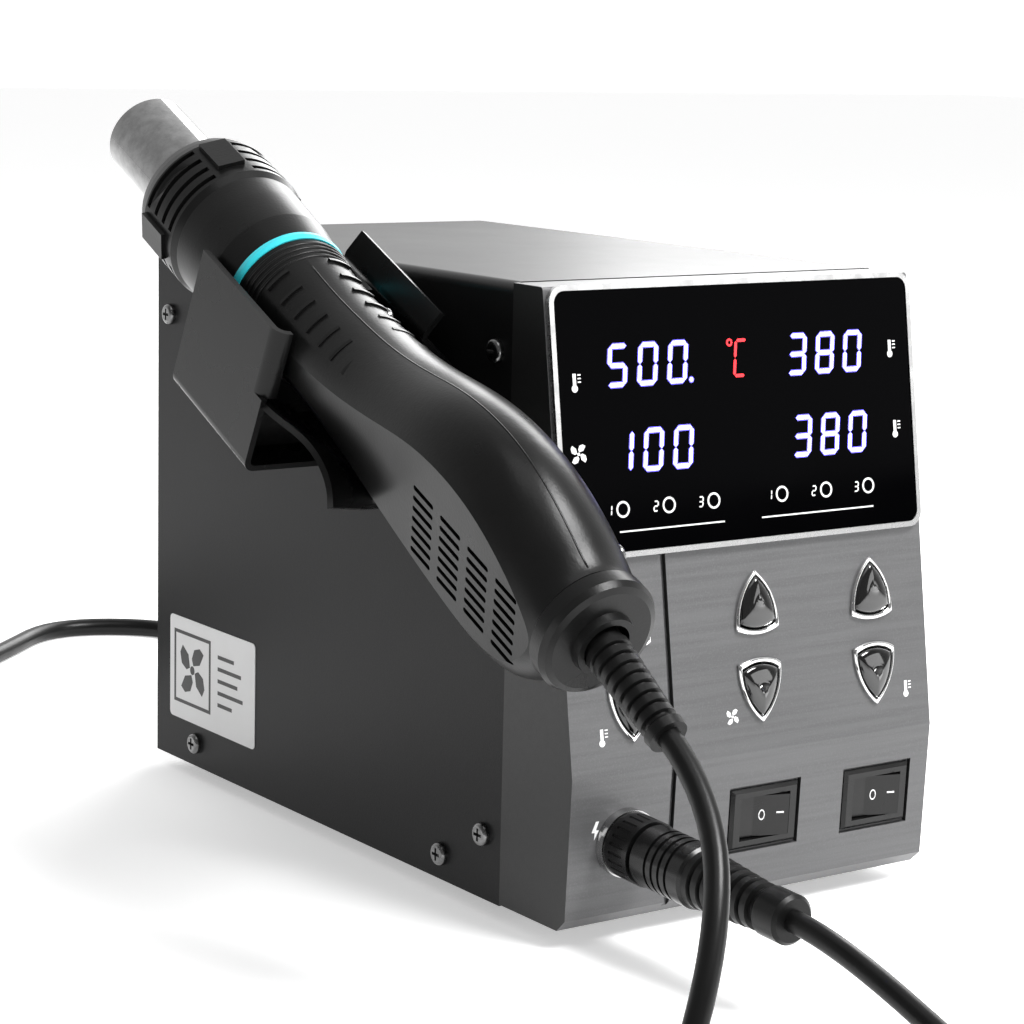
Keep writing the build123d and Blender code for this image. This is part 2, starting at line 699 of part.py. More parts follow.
with BuildPart() as gun_screws:
    for along, up in gun_screws_at:
        seat = side_distance(along, up) - SCREW_SUNK + 0.02
        place = Plane(
            gun_side.from_local_coords(Vector(along, up, -seat)),
            x_dir=gun_side.x_dir, z_dir=gun.x_dir,
        )
        screw_head(place, head_r=2.2, head_h=1.2, shank_r=1.1, shank=6)
save(gun_screws, "gun_screws")

CAP_R = 14.2
with BuildPart() as gun_end_cap:
    turned(
        [
            (SHELL_END - 6, 8.0), (SHELL_END - 6, 9.9), (SHELL_END, 9.9), (SHELL_END, CAP_R - 0.6),
            (SHELL_END + 0.6, CAP_R), (CAP_END - 2.0, CAP_R), (CAP_END - 0.6, CAP_R - 0.8),
            (CAP_END, CAP_R - 2.2), (CAP_END, 7.4), (CAP_END + 2.0, 7.0), (CAP_END + 2.0, 5.5),
            (SHELL_END + 4.6, 5.5), (SHELL_END + 4.6, 7.6), (SHELL_END, 7.6),
        ],
        gun,
    )
save(gun_end_cap, "gun_end_cap")

# the sleeve sags a little from the gun's axis under the lead's own weight
RELIEF_SAG, RELIEF_L = 7.0, 31.0
relief_root = gun_tip + gun_axis * (CAP_END - 3.5)
relief_lean = radians(GUN_PITCH + RELIEF_SAG)
relief = Plane(relief_root, x_dir=(1, 0, 0), z_dir=(0, -cos(relief_lean), -sin(relief_lean)))
with BuildPart() as gun_strain_relief:
    turned(
        [(0, 0), (0, 6.4), (1.6, 6.4), (1.6, 4.6), (5.8, 4.6)]
        + ribbed(6.0, RELIEF_L - 3, 5.0, 4.1, 8, 0.8)
        + [(RELIEF_L - 2.6, 3.9), (RELIEF_L - 2.2, 4.5), (RELIEF_L, 4.3), (RELIEF_L, 0)],
        relief,
    )
save(gun_strain_relief, "gun_strain_relief")

# inside the gun: heater, temperature sensor, blower and its board
with BuildPart() as heater_former:
    with BuildSketch(gun.offset(14)):
        Circle(8.2)
        with PolarLocations(5.2, 6):
            Circle(1.9, mode=Mode.SUBTRACT)
        Circle(1.4, mode=Mode.SUBTRACT)
    extrude(amount=60)
    with BuildSketch(gun.offset(74)):
        Circle(12.4)
        with PolarLocations(8.5, 6):
            Circle(2.4, mode=Mode.SUBTRACT)
        Circle(1.4, mode=Mode.SUBTRACT)
    extrude(amount=2.8)
save(heater_former, "heater_former")

with BuildPart() as heater_wire:
    for turn in range(8):
        turned(
            [(18 + turn * 6, 8.3), (18 + turn * 6, 9.3), (19 + turn * 6, 9.3), (19 + turn * 6, 8.3)], gun
        )
save(heater_wire, "heater_wire_turns")

with BuildPart() as heat_sensor:
    ring(9, 40, 1.2, plane=gun)
    ring(7, 9, 1.6, plane=gun)
save(heat_sensor, "heat_sensor")

FAN_T, FAN_R = 184.0, 15.4
fan = Plane(
    gun_side.from_local_coords(Vector(FAN_T, 0, 0)), x_dir=gun_side.x_dir, z_dir=gun_side.z_dir
)
with BuildPart() as blower_motor:
    ring(3.4, 8.6, 10, plane=fan)
    ring(-2.0, 3.4, 4.0, 1.3, plane=fan)
save(blower_motor, "blower_motor")

with BuildPart() as blower_wheel:
    ring(-6.9, -5.7, FAN_R, plane=fan)
    ring(-5.7, 2.8, 5.4, 4.3, plane=fan)
    ring(-5.7, 2.6, 1.2, plane=fan)
    with BuildSketch(fan.offset(-5.7)) as blades:
        with PolarLocations(11.4, 9):
            with Locations(Location((0, 0), 24)):
                Rectangle(7.0, 0.9)
    extrude(blades.sketch, amount=7.6)
save(blower_wheel, "blower_wheel")

VOLUTE_R = 17.6
with BuildPart() as blower_volute:
    ring(-8.8, -7.8, VOLUTE_R, 7.0, plane=fan)
    ring(-7.8, 8.0, VOLUTE_R, VOLUTE_R - 1, plane=fan)
    with BuildSketch(fan.offset(-7.4)) as outlet:
        with Locations((-17, 9)):
            Rectangle(14, 13)
    extrude(outlet.sketch, amount=14.8, mode=Mode.SUBTRACT)
save(blower_volute, "blower_volute")

with BuildPart() as gun_board:
    with BuildSketch(gun_side.offset(-0.8)):
        with Locations((118, -2)):
            Rectangle(52, 16)
    extrude(amount=1.6)
save(gun_board, "gun_board")

# ---------------------------------------------------------------- cradle on the case's left side
EAR_X, EAR_START, EAR_END = -18.3, 67.5, 106.5
EAR_TOP, FLOOR_U = 6.0, -30.5
BASE_X = CASE_X - GAP - CRADLE_T / 2
TONGUE_START = 97.0             # the dished tongue under the grip starts at the front saddle
tongue_edge = ((TONGUE_START, -11.6), (119, -11.0), (132, -10.4), (138, -12.6), (142, -17.5))

with BuildPart() as cradle:
    # the bent strip: flared tab, plate on the case, floor and outer ear
    with BuildSketch(cradle_plane.offset(EAR_START)):
        with BuildLine():
            FilletPolyline(
                (BASE_X - 6.6, 9.8), (BASE_X - 10.2, 3.0), (BASE_X, -5), (BASE_X, FLOOR_U),
                (EAR_X, FLOOR_U), (EAR_X, EAR_TOP),
                radius=2.2,
            )
        trace(line_width=CRADLE_T)
    extrude(amount=EAR_END - EAR_START)
    # the ear's front edge is curled inwards
    with BuildSketch(Plane(cradle_plane.from_local_coords(Vector(0, 18, 0)), x_dir=(1, 0, 0),
                           z_dir=gun_up)):
        with Locations((EAR_X, -EAR_END)):
            Rectangle(6, 8)
    extrude(amount=-29.5, mode=Mode.SUBTRACT)
    curl = Plane(cradle_plane.from_local_coords(Vector(0, -11.5, 0)), x_dir=(1, 0, 0), z_dir=gun_up)
    with BuildSketch(curl):
        with Locations((EAR_X + 3.2, -(EAR_END - 4))):
            Circle(3.2 + CRADLE_T / 2)
            Circle(3.2 - CRADLE_T / 2, mode=Mode.SUBTRACT)
        with Locations((EAR_X + 3.2 - 5, -(EAR_END - 4) - 5)):
            Rectangle(10, 10, mode=Mode.INTERSECT)
    extrude(amount=EAR_TOP + 11.5)
    # the dished tongue that runs forward under the grip and turns down at its end
    with BuildLine() as tongue_path:
        Spline(
            *[
                cradle_plane.from_local_coords(Vector(EAR_X, up, along))
                for along, up in tongue_edge
            ]
        )
    with BuildSketch(cradle_plane.offset(TONGUE_START)) as tongue_section:
        with BuildLine():
            FilletPolyline(
                (EAR_X, -11.6), (-3, -21.2), (BASE_X - 6, -21.8), (BASE_X, -18), (BASE_X, -9),
                radius=2.0,
            )
        trace(line_width=CRADLE_T)
    sweep(sections=tongue_section.sketch, path=tongue_path.wires()[0])
    # two saddles that carry the gun
    for along, notch in ((69.0, 17.25), (97.0, 14.9)):
        with BuildSketch(cradle_plane.offset(along)):
            with Locations(((EAR_X + BASE_X) / 2, (FLOOR_U - 6) / 2)):
                Rectangle(BASE_X - EAR_X, -6 - FLOOR_U)
            Circle(notch, mode=Mode.SUBTRACT)
        extrude(amount=CRADLE_T)
    with BuildSketch(Plane.YZ.offset(cradle_screws_at[0].X - 1)):
        with Locations(*[(place.Y, place.Z) for place in cradle_screws_at]):
            Circle(1.5)
    extrude(amount=4, mode=Mode.SUBTRACT)
save(cradle, "cradle")

with BuildPart() as side_sticker:
    with BuildSketch(Plane.YZ.offset(LEFT)):
        with Locations((FRONT_Y + 141, BASE_Z + 26.8)):
            RectangleRounded(48, 29.5, 1.5)
    extrude(amount=-0.2)
save(side_sticker, "side_sticker")

# ---------------------------------------------------------------- electronics in the case
BOARD_Z = BASE_Z + SHEET + 6.0
with BuildPart() as power_board:
    with BuildSketch(Plane.XY.offset(BOARD_Z)):
        with Locations((BODY_X, FRONT_Y + 86)):
            Rectangle(92, 116)
        with Locations(*board_places):
            Circle(1.7, mode=Mode.SUBTRACT)
    extrude(amount=1.6)
save(power_board, "power_board")

with BuildPart() as board_standoffs:
    with BuildSketch(Plane.XY.offset(BASE_Z + SHEET)):
        with Locations(*board_places):
            RegularPolygon(3.2, 6)
    extrude(amount=BOARD_Z - BASE_Z - SHEET)
    with BuildSketch(Plane.XY.offset(BOARD_Z)):
        with Locations(*board_places):
            Circle(1.5)
    extrude(amount=3.2)
save(board_standoffs, "board_standoffs")

deck = BOARD_Z + 1.6
core_at = (BODY_X - 12, FRONT_Y + 105)
with BuildPart() as transformer_core:
    with BuildSketch(Plane.XY.offset(deck)):
        with Locations(core_at):
            Rectangle(48, 24)
            with GridLocations(26, 0, 2, 1):
                Rectangle(11, 30, mode=Mode.SUBTRACT)
    extrude(amount=40)
    with BuildSketch(Plane.XY.offset(deck)):
        with Locations(core_at):
            Rectangle(48, 24)
    extrude(amount=6)
    with BuildSketch(Plane.XY.offset(deck + 34)):
        with Locations(core_at):
            Rectangle(48, 24)
    extrude(amount=6)
save(transformer_core, "transformer_core")

with BuildPart() as transformer_winding:
    with BuildSketch(Plane.XY.offset(deck + 6.2)):
        with Locations(core_at):
            RectangleRounded(36.4, 36, 4)
            Rectangle(15.2, 24.2, mode=Mode.SUBTRACT)
    extrude(amount=27.6)
save(transformer_winding, "transformer_winding")

with BuildPart() as heat_sink:
    with BuildSketch(Plane.XY.offset(deck)):
        with Locations((BODY_X + 36, FRONT_Y + 110)):
            Rectangle(3, 44)
            with Locations((-5.5, 0)):
                with GridLocations(0, 6, 1, 8):
                    Rectangle(9, 1.4)
    extrude(amount=38)
save(heat_sink, "heat_sink")

with BuildPart() as capacitors:
    for x, y, radius, height in ((-30, 52, 9, 26), (-8, 50, 9, 26), (12, 46, 6, 18), (28, 46, 6, 18)):
        with BuildSketch(Plane.XY.offset(deck)):
            with Locations((BODY_X + x, FRONT_Y + y)):
                Circle(radius)
        can = extrude(amount=height)
        fillet(can.edges().filter_by(GeomType.CIRCLE).sort_by(Axis.Z)[-1], radius=0.8)
save(capacitors, "capacitors")

back = Plane((BODY_X, REAR_Y, BASE_Z), x_dir=(-1, 0, 0), z_dir=(0, 1, 0))


def on_back(place):
    """A plane on the rear panel, facing out, at a place given from the middle of the case."""
    return Plane(
        (BODY_X + place[0], REAR_Y, BASE_Z + place[1]), x_dir=back.x_dir, z_dir=back.z_dir
    )


with BuildPart() as fuse_holder:
    at = on_back(FUSE_AT)
    turned(
        [
            (-26, 0), (-26, 4.6), (-12, 4.6), (-12, 6.0), (0.05, 6.0), (0.05, 8.0),
            (2.6, 8.0), (2.6, 6.6), (7.0, 6.2), (7.0, 0),
        ],
        at,
    )
    with BuildSketch(at.offset(5.8)) as slot:
        Rectangle(9, 1.2)
    extrude(slot.sketch, amount=3, mode=Mode.SUBTRACT)
save(fuse_holder, "fuse_holder")

GLAND_L = 36.0
with BuildPart() as mains_gland:
    at = on_back(GLAND_AT)
    turned(
        [(-5, 0), (-5, 5.8), (-2.4, 5.8), (-1.3, 4.9), (0.1, 4.9), (0.1, 7.6), (3.2, 7.2)]
        + ribbed(3.6, GLAND_L - 1.6, 6.6, 4.4, 9, 1.0)
        + [(GLAND_L - 1.2, 4.3), (GLAND_L, 4.0), (GLAND_L, 0)],
        at,
    )
save(mains_gland, "mains_gland")

# ---------------------------------------------------------------- cords


def bench(x, y, z):
    """A point given from the middle of the case, its front edge and its underside."""
    return (BODY_X + x, FRONT_Y + y, BASE_Z + z)


def bend_radii(points):
    """A bend radius for every corner of a route, from its shorter run and its turn."""
    radii = []
    for a, b, c in zip(points, points[1:], points[2:]):
        before, after = Vector(*b) - Vector(*a), Vector(*c) - Vector(*b)
        turn = radians(before.get_angle(after))
        radii.append(0.45 * min(before.length, after.length) / tan(turn / 2))
    return radii


def cord(points, diameter, label):
    """A round cord: straight runs joined by tangent arcs."""
    radii = bend_radii(points)
    with BuildPart() as piece:
        with BuildLine() as route:
            FilletPolyline(*points, radius=radii)
        track = route.wires()[0]
        with BuildSketch(Plane(track @ 0, z_dir=track % 0)) as section:
            Circle(diameter / 2)
        sweep(section.sketch, path=track)
    area = pi * diameter ** 2 / 4
    print(
        label, "length", round(track.length, 1),
        "radii", [round(radius, 1) for radius in radii],
        "in diameters", [round(radius / diameter, 1) for radius in radii],
        "volume ratio", round(piece.part.volume / (area * track.length), 4),
    )
    save(piece, label)


def coil(centre, middle_r, wide, high, label):
    """A put-away hank of cord lying on the bench."""
    with BuildPart() as piece:
        with BuildSketch(Plane.XZ) as section:
            with Locations((centre[0] + middle_r, high / 2)):
                RectangleRounded(wide, high, min(wide, high) * 0.35)
        revolve(section.sketch.moved(Location((0, centre[1], 0))),
                axis=Axis((centre[0], centre[1], 0), (0, 0, 1)))
    save(piece, label)


lead_floor = LEAD_D / 2 - BASE_Z        # middle of a lead that lies on the bench
mains_floor = MAINS_D / 2 - BASE_Z
relief_tip = relief.from_local_coords(Vector(0, 0, RELIEF_L))
relief_next = relief.from_local_coords(Vector(0, 0, RELIEF_L + 18))
LEAD_COIL = (-88.0, -176.0)
LEAD_COIL_R, LEAD_COIL_W, LEAD_COIL_H = 29.0, 16.8, 10.4
LEAD_OUTER = LEAD_COIL_R + (LEAD_COIL_W - LEAD_D) / 2      # middle of its outermost strand
upper_points = (
    tuple(relief_tip),
    tuple(relief_next),
    bench(-101.5, -137, 36),
    bench(-118, -140, lead_floor),
    bench(LEAD_COIL[0] - LEAD_OUTER, LEAD_COIL[1] + 2, lead_floor),
)
cord(upper_points, LEAD_D, "gun_lead_upper")

boot_tip = socket.from_local_coords(Vector(0, 0, BOOT_END))
boot_next = socket.from_local_coords(Vector(0, 0, BOOT_END + 15))
lower_points = (
    tuple(boot_tip),
    tuple(boot_next),
    bench(-37, -153, lead_floor),
    bench(-36, -193, lead_floor),
    bench(-71.7, -206.6, lead_floor),
)
cord(lower_points, LEAD_D, "gun_lead_lower")
coil(bench(*LEAD_COIL, 0), LEAD_COIL_R, LEAD_COIL_W, LEAD_COIL_H, "gun_lead_coil")

gland_tip = on_back(GLAND_AT).from_local_coords(Vector(0, 0, GLAND_L))
gland_next = on_back(GLAND_AT).from_local_coords(Vector(0, 0, GLAND_L + 30))
MAINS_COIL = (-91.8, 325.1)
MAINS_COIL_R, MAINS_COIL_W, MAINS_COIL_H = 32.0, 24.0, 11.6
mains_points = (
    tuple(gland_tip),
    tuple(gland_next),
    bench(12, 272, mains_floor),
    bench(34, 316, mains_floor),
    bench(-6, 344, mains_floor),
    bench(-40, 313, mains_floor),
    bench(-67, 292.5, mains_floor),
)
cord(mains_points, MAINS_D, "mains_cord")
coil(bench(*MAINS_COIL, 0), MAINS_COIL_R, MAINS_COIL_W, MAINS_COIL_H, "mains_coil")

# the mains plug lies flat beside its coil
MAINS_OUTER = MAINS_COIL_R + (MAINS_COIL_W - MAINS_D) / 2
plug_at = Vector(
    BODY_X + MAINS_COIL[0] - MAINS_OUTER * cos(radians(45)),
    FRONT_Y + MAINS_COIL[1] - MAINS_OUTER * sin(radians(45)),
    10.0,
)
mains_end = Plane(plug_at, x_dir=(1, 1, 0), z_dir=(-1, 1, 0))
BOOT_AT = 18.0          # where the plug's boot leaves the coil
with BuildPart() as mains_plug:
    turned(
        [(BOOT_AT, 0), (BOOT_AT, 4.2)] + ribbed(BOOT_AT + 2, BOOT_AT + 22, 4.4, 6.8, 6, 0.8)
        + [(BOOT_AT + 22, 7.4), (BOOT_AT + 26, 8.4), (BOOT_AT + 26, 0)],
        mains_end,
    )
    with BuildSketch(mains_end.offset(BOOT_AT + 25)) as grip:
        RectangleRounded(27, 20, 4)
    extrude(grip.sketch, amount=31)
    with BuildSketch(mains_end.offset(BOOT_AT + 56)) as blades:
        with GridLocations(12.7, 0, 2, 1):
            Rectangle(1.5, 6.3)
        with Locations((0, 7.0)):
            Circle(2.4)
    extrude(blades.sketch, amount=17.5)
save(mains_plug, "mains_plug")
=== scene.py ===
import json
from math import atan2, cos, hypot, pi, radians, sin

import bmesh
import bpy
from mathutils import Matrix, Vector
from mathutils.bvhtree import BVHTree


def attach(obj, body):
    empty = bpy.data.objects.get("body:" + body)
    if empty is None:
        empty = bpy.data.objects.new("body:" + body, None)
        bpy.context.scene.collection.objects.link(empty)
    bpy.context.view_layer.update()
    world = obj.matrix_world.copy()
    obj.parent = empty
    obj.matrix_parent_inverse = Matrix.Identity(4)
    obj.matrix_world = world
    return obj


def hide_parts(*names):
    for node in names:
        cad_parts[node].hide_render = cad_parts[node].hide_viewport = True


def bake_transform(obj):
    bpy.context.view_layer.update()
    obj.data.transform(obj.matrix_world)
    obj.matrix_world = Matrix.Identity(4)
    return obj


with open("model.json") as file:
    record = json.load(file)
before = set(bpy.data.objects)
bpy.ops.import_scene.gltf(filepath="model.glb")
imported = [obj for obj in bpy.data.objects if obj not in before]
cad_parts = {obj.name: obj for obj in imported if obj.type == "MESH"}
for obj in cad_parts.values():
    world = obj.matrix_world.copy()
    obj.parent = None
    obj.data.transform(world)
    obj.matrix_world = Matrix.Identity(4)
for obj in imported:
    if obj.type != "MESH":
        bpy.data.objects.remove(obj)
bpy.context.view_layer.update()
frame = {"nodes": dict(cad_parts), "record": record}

MM = 0.001

# ---------------------------------------------------------------- the model's own planes, in mm
BODY_X, FRONT_Y, BASE_Z = 24.8, -47.5, 4.0
BODY_W, COVER_D = 112.0, 173.0
LEFT = BODY_X - BODY_W / 2


class Place:
    """A plane with its own x, y (up it) and z (out of it), in mm."""

    def __init__(self, origin, x_dir, z_dir):
        self.origin = Vector(origin)
        self.z = Vector(z_dir).normalized()
        self.x = (Vector(x_dir) - self.z * Vector(x_dir).dot(self.z)).normalized()
        self.y = self.z.cross(self.x)

    def at(self, x=0.0, y=0.0, z=0.0):
        return self.origin + self.x * x + self.y * y + self.z * z


PANEL_LEAN, TOE_LEAN = radians(8.4), radians(2.3)
knee = (BODY_X, FRONT_Y - 28.0, BASE_Z + 37.4)
panel = Place(knee, (1, 0, 0), (0, -cos(PANEL_LEAN), sin(PANEL_LEAN)))
toe = Place(knee, (1, 0, 0), (0, -cos(TOE_LEAN), -sin(TOE_LEAN)))
PITCH, ROLL = radians(25.4), radians(14.0)
gun_axis = Vector((0, -cos(PITCH), -sin(PITCH)))
gun_up = Vector((0, -sin(PITCH), cos(PITCH)))
gun_tip = Vector((BODY_X - 88.0, FRONT_Y + 118.5, BASE_Z + 178.0))
gun = Place(gun_tip, Vector((1, 0, 0)) * cos(ROLL) + gun_up * sin(ROLL), gun_axis)


def bench(x, y, z):
    """A point from the middle of the case, its front edge and its underside."""
    return Vector((BODY_X + x, FRONT_Y + y, BASE_Z + z))


# ---------------------------------------------------------------- camera, floor and light
camera = bpy.data.objects.new("camera", bpy.data.cameras.new("camera"))
bpy.context.scene.collection.objects.link(camera)
bpy.context.scene.camera = camera
camera.data.lens = 99.40
camera.data.sensor_width = 36.0
camera.data.clip_end = 20.0
view_right = Vector((0.81810, -0.57460, 0.02353))
view_up = Vector((0.07860, 0.15226, 0.98521))
view_back = -Vector((0.56968, 0.80415, -0.16973))
m = Matrix((view_right, view_up, view_back)).transposed().to_4x4()
m.translation = Vector((BODY_X - 432.56, FRONT_Y - 533.06, BASE_Z + 208.46)) * MM
camera.matrix_world = m


# ---------------------------------------------------------------- materials
class Nodes:
    """A short way to write a material's nodes."""

    def __init__(self, name):
        self.material = bpy.data.materials.new(name)
        self.material.use_nodes = True
        self.tree = self.material.node_tree
        self.tree.nodes.clear()
        self.out = self.tree.nodes.new("ShaderNodeOutputMaterial")
        self.shader = self.tree.nodes.new("ShaderNodeBsdfPrincipled")
        self.link(self.shader.outputs[0], self.out.inputs["Surface"])
        self.coordinates = self.tree.nodes.new("ShaderNodeTexCoord").outputs["Object"]

    def link(self, a, b):
        self.tree.links.new(a, b)

    def node(self, kind, inputs=None, **settings):
        n = self.tree.nodes.new(kind)
        for key, value in settings.items():
            setattr(n, key, value)
        for key, value in (inputs or {}).items():
            if isinstance(value, bpy.types.NodeSocket):
                self.link(value, n.inputs[key])
            else:
                n.inputs[key].default_value = value
        return n

    def set(self, **values):
        for key, value in values.items():
            name = key.replace("_", " ")
            if isinstance(value, bpy.types.NodeSocket):
                self.link(value, self.shader.inputs[name])
            else:
                self.shader.inputs[name].default_value = value

    def noise(self, scale, detail=3.0, roughness=0.5, vector=None):
        return self.node(
            "ShaderNodeTexNoise",
            {"Vector": vector or self.coordinates, "Scale": scale, "Detail": detail,
             "Roughness": roughness},
        ).outputs["Fac"]

    def stretched(self, x, y, z):
        return self.node(
            "ShaderNodeMapping", {"Vector": self.coordinates, "Scale": (x, y, z)}
        ).outputs[0]

    def ramp(self, fac, stops):
        n = self.node("ShaderNodeValToRGB", {"Fac": fac})
        ramp = n.color_ramp
        while len(ramp.elements) < len(stops):
            ramp.elements.new(0.5)
        for element, (position, colour) in zip(ramp.elements, stops):
            element.position = position
            element.color = colour if len(colour) == 4 else (*colour, 1)
        return n.outputs[0]

    def mix(self, fac, a, b, blend="MIX"):
        n = self.node("ShaderNodeMix", data_type="RGBA", blend_type=blend)
        for index, value in ((0, fac), (6, a), (7, b)):
            if isinstance(value, bpy.types.NodeSocket):
                self.link(value, n.inputs[index])
            else:
                n.inputs[index].default_value = value
        return n.outputs[2]

    def maths(self, operation, a, b=0.0, c=None):
        n = self.node("ShaderNodeMath", operation=operation)
        for index, value in enumerate((a, b) if c is None else (a, b, c)):
            if isinstance(value, bpy.types.NodeSocket):
                self.link(value, n.inputs[index])
            else:
                n.inputs[index].default_value = value
        return n.outputs[0]

    def between(self, fac, low, high, to_low, to_high):
        return self.node(
            "ShaderNodeMapRange",
            {"Value": fac, "From Min": low, "From Max": high, "To Min": to_low, "To Max": to_high},
        ).outputs[0]

    def bump(self, height, strength, distance, normal=None):
        inputs = {"Height": height, "Strength": strength, "Distance": distance}
        if normal is not None:
            inputs["Normal"] = normal
        return self.node("ShaderNodeBump", inputs).outputs[0]


def grey(value, blue=0.0):
    return (value, value, value * (1 + blue), 1)


def powder_coat():
    n = Nodes("powder_coat")
    grain = n.noise(2600, 2, 0.6)
    orange_peel = n.noise(700, 3, 0.5)
    cloud = n.noise(9, 4, 0.6)
    base = n.ramp(grain, [(0.3, grey(0.005, 0.04)), (0.7, grey(0.011, 0.04))])
    base = n.mix(n.between(cloud, 0.35, 0.65, 0, 0.35), base, grey(0.009, 0.04))
    n.set(Base_Color=base, Roughness=n.between(cloud, 0.3, 0.7, 0.30, 0.36))
    n.shader.inputs["Specular IOR Level"].default_value = 0.12
    first = n.bump(orange_peel, 0.12, 0.0001)
    n.set(Normal=n.bump(grain, 0.2, 0.0001, first))
    return n.material


def plastic(name, light, dark, rough=(0.38, 0.5), bump=0.15, scale=1400, spec=0.5):
    n = Nodes(name)
    grain = n.noise(scale, 2, 0.5)
    cloud = n.noise(24, 4, 0.6)
    base = n.ramp(cloud, [(0.3, dark), (0.7, light)])
    n.set(Base_Color=base, Roughness=n.between(n.noise(60, 3), 0.3, 0.7, *rough))
    n.shader.inputs["Specular IOR Level"].default_value = spec
    n.set(Normal=n.bump(grain, bump, 0.0001))
    return n.material


def brushed_plastic():
    """Silver grey satin paint on the face, with painted shade on the two sides, which are the same plastic
    coloured dark.
    """
    n = Nodes("front_plastic")
    streaks = n.noise(700, 3, 0.6, n.stretched(0.03, 1, 1))
    fleck = n.noise(2400, 2, 0.6)
    cloud = n.noise(9, 3)
    base = n.mix(n.between(streaks, 0.35, 0.65, 0, 1), grey(0.105, 0.02), grey(0.13, 0.02))
    base = n.mix(n.between(fleck, 0.5, 0.75, 0, 0.5), base, grey(0.17, 0.02))
    base = n.mix(n.between(cloud, 0.3, 0.7, 0, 0.35), base, grey(0.095, 0.02))
    # Painted shade: faces whose normal points along x (the two sides) get a dark grey and no metallic,
    # standing in for the shade they fall in.
    facing = n.node(
        "ShaderNodeSeparateXYZ", {0: n.node("ShaderNodeNewGeometry").outputs["True Normal"]}
    ).outputs[0]
    shaded_side = n.between(n.maths("ABSOLUTE", facing), 0.80, 0.90, 0, 1)
    base = n.mix(shaded_side, base, n.mix(fleck, grey(0.012), grey(0.022)))
    n.set(Base_Color=base, Roughness=n.between(streaks, 0.3, 0.7, 0.34, 0.42))
    n.set(Metallic=n.maths("MULTIPLY_ADD", shaded_side, -0.3, 0.3))
    n.shader.inputs["Specular IOR Level"].default_value = 0.3
    n.set(Normal=n.bump(n.noise(2200, 2), 0.10, 0.0001))
    return n.material


def metal(name, colour, rough=(0.2, 0.35), streak=None, dark=None, bump=0.05):
    n = Nodes(name)
    vector = n.stretched(*streak) if streak else None
    lines = n.noise(260, 4, 0.65, vector)
    base = n.mix(n.between(lines, 0.35, 0.7, 0, 1), colour, dark or colour)
    n.set(Base_Color=base, Metallic=1.0, Roughness=n.between(lines, 0.3, 0.7, *rough))
    n.set(Normal=n.bump(lines, bump, 0.00005))
    return n.material


def gloss(name, colour, rough=0.08, coat=0.0, spec=0.5, dusty=grey(0.003)):
    n = Nodes(name)
    dust = n.noise(900, 5, 0.7)
    n.set(
        Base_Color=n.mix(n.between(dust, 0.62, 0.8, 0, 0.25), colour, dusty),
        Roughness=n.between(n.noise(40, 4), 0.3, 0.7, rough, rough + 0.05),
    )
    n.shader.inputs["Specular IOR Level"].default_value = spec
    n.shader.inputs["Coat Weight"].default_value = coat
    n.shader.inputs["Coat Roughness"].default_value = 0.05
    n.set(Normal=n.bump(n.noise(160, 2), 0.02, 0.0001))
    return n.material


def board_material():
    n = Nodes("circuit_board")
    traces = n.node("ShaderNodeTexVoronoi", {"Vector": n.coordinates, "Scale": 190.0},
                    feature="DISTANCE_TO_EDGE").outputs["Distance"]
    base = n.mix(n.between(traces, 0.03, 0.06, 1, 0), (0.006, 0.06, 0.022, 1),
                 (0.02, 0.14, 0.05, 1))
    n.set(Base_Color=base, Roughness=0.3)
    return n.material


def glow(name, colour, strength):
    n = Nodes(name)
    n.set(Base_Color=(*colour, 1), Roughness=0.4)
    n.shader.inputs["Emission Color"].default_value = (*colour, 1)
    flicker = n.between(n.noise(500, 2), 0.2, 0.8, strength * 0.9, strength * 1.1)
    n.set(Emission_Strength=flicker)
    return n.material


